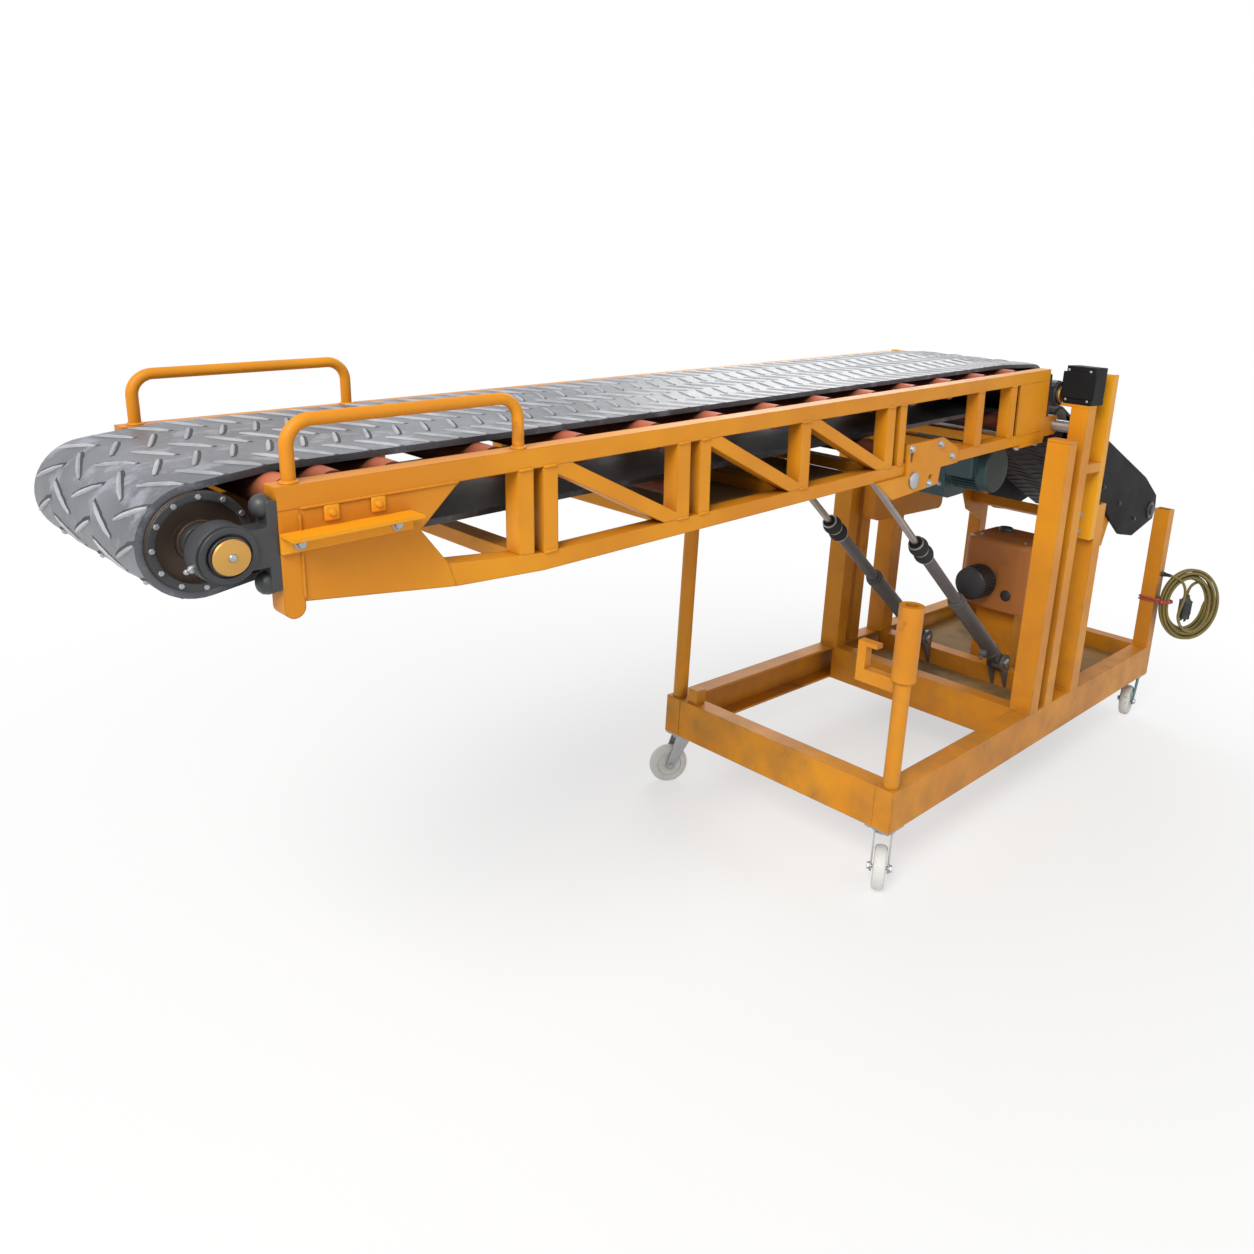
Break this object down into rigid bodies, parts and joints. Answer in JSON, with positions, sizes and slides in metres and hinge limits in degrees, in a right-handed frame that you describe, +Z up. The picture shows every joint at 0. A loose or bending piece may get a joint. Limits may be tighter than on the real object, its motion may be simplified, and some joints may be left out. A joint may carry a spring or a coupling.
{
  "type": "folding belt conveyor",
  "caption": "Mobile belt conveyor: trussed boom on a tower, raised by cylinders, with a feed section that folds up and a base on swivel casters.",
  "frame": {"origin": "on the floor under the middle of the overall length and width", "axes": "+X from the discharge head to the feed end, +Y away from the pictured side, +Z up"},
  "size_m": [4.2025, 1.1454, 1.524],
  "materials": {
    "frame_paint": "orange-yellow paint, satin",
    "steel": "bare steel",
    "barrel_grey": "dark grey paint",
    "black_rubber": "matt black rubber",
    "black_iron": "black paint",
    "brass": "yellow passivated steel",
    "primer_red": "red primer",
    "motor_teal": "dark teal paint",
    "cable_olive": "olive cable jacket",
    "zinc": "zinc plate",
    "wheel_nylon": "pale grey nylon"
  },
  "bodies": {
    "chassis": {"base_rails": "frame_paint", "base_crossbeams": "frame_paint", "base_floor": "frame_paint", "front_posts": "frame_paint", "pivot_posts": "frame_paint", "rear_posts": "frame_paint", "rear_corner_posts": "frame_paint", "post_caps": "frame_paint", "hinge_pins": "steel", "side_channels": "frame_paint", "channel_tabs": "frame_paint", "feed_lugs": "frame_paint", "far_side_box": "frame_paint", "corner_tubes": "frame_paint", "corner_sleeve": "frame_paint", "switch_box": "black_iron", "power_unit": "frame_paint", "unit_stand": "frame_paint", "unit_motor": "black_iron", "cylinder_brackets": "barrel_grey", "cable_gland": "black_iron", "cable_hank": "cable_olive", "cable_plug": "black_iron", "caster_plates": "steel"},
    "boom": {"boom_top_chords": "frame_paint", "boom_bottom_chords": "frame_paint", "boom_web": "frame_paint", "boom_end_posts": "frame_paint", "boom_end_plates": "frame_paint", "boom_pivot_brackets": "frame_paint", "boom_lugs": "frame_paint", "eye_shaft": "steel", "boom_crossbars": "frame_paint", "boom_pan": "frame_paint", "boom_handles": "frame_paint", "boom_idlers": "primer_red", "return_idlers": "primer_red", "head_drum": "black_iron", "tail_drum": "black_iron", "boom_belt": "black_rubber", "bearing_blocks": "black_iron", "shaft_caps": "brass", "head_angles": "frame_paint", "motor_hanger": "frame_paint", "gear_motor": "motor_teal"},
    "cylinder_barrels": {"cylinder_barrels": "barrel_grey", "cylinder_boots": "black_rubber"},
    "cylinder_rods": {"cylinder_rods": "steel"},
    "feed_section": {"feed_panels": "black_iron", "feed_drums": "black_iron", "feed_belt": "black_rubber", "feed_edges": "frame_paint"},
    "fork_near_front": {"caster_fork_near_front": "zinc"},
    "wheel_near_front": {"caster_wheel_near_front": "wheel_nylon"},
    "fork_far_front": {"caster_fork_far_front": "zinc"},
    "wheel_far_front": {"caster_wheel_far_front": "wheel_nylon"},
    "fork_near_rear": {"caster_fork_near_rear": "zinc"},
    "wheel_near_rear": {"caster_wheel_near_rear": "wheel_nylon"},
    "fork_far_rear": {"caster_fork_far_rear": "zinc"},
    "wheel_far_rear": {"caster_wheel_far_rear": "wheel_nylon"}
  },
  "joints": [
    {"name": "boom_lift", "type": "hinge", "parent": "chassis", "child": "boom", "pos_m": [0.80328, 0, 1.31386], "axis": [0, 1, 0], "range_deg": [-5, 10]},
    {"name": "cylinder_swing", "type": "hinge", "parent": "chassis", "child": "cylinder_barrels", "pos_m": [0.96328, 0, 0.354], "axis": [0, 1, 0], "range_deg": [-20, 30]},
    {"name": "rod_stroke", "type": "slide", "parent": "cylinder_barrels", "child": "cylinder_rods", "axis": [-0.7873, 0, 0.6165], "range_m": [-0.09, 0.2]},
    {"name": "feed_fold", "type": "hinge", "parent": "chassis", "child": "feed_section", "pos_m": [1.07128, 0, 1.285], "axis": [0, -1, 0], "range_deg": [0, 100]},
    {"name": "swivel_near_front", "type": "hinge", "parent": "chassis", "child": "fork_near_front", "pos_m": [-0.18072, -0.416, 0.173], "axis": [0, 0, 1], "continuous": true},
    {"name": "roll_near_front", "type": "hinge", "parent": "fork_near_front", "child": "wheel_near_front", "pos_m": [-0.22055, -0.439, 0.065], "axis": [0.5, -0.866, 0], "continuous": true},
    {"name": "swivel_far_front", "type": "hinge", "parent": "chassis", "child": "fork_far_front", "pos_m": [-0.18072, 0.416, 0.173], "axis": [0, 0, 1], "continuous": true},
    {"name": "roll_far_front", "type": "hinge", "parent": "fork_far_front", "child": "wheel_far_front", "pos_m": [-0.22055, 0.439, 0.065], "axis": [-0.5, -0.866, 0], "continuous": true},
    {"name": "swivel_near_rear", "type": "hinge", "parent": "chassis", "child": "fork_near_rear", "pos_m": [1.81328, -0.416, 0.173], "axis": [0, 0, 1], "continuous": true},
    {"name": "roll_near_rear", "type": "hinge", "parent": "fork_near_rear", "child": "wheel_near_rear", "pos_m": [1.76773, -0.4224, 0.065], "axis": [0.1392, -0.9903, 0], "continuous": true},
    {"name": "swivel_far_rear", "type": "hinge", "parent": "chassis", "child": "fork_far_rear", "pos_m": [1.81328, 0.416, 0.173], "axis": [0, 0, 1], "continuous": true},
    {"name": "roll_far_rear", "type": "hinge", "parent": "fork_far_rear", "child": "wheel_far_rear", "pos_m": [1.76773, 0.4224, 0.065], "axis": [-0.1392, -0.9903, 0], "continuous": true}
  ],
  "couplings": [
    {"joint": "cylinder_swing", "follows": "boom_lift", "ratio": 0.47577},
    {"joint": "rod_stroke", "follows": "boom_lift", "m_per_rad": 0.64147}
  ]
}
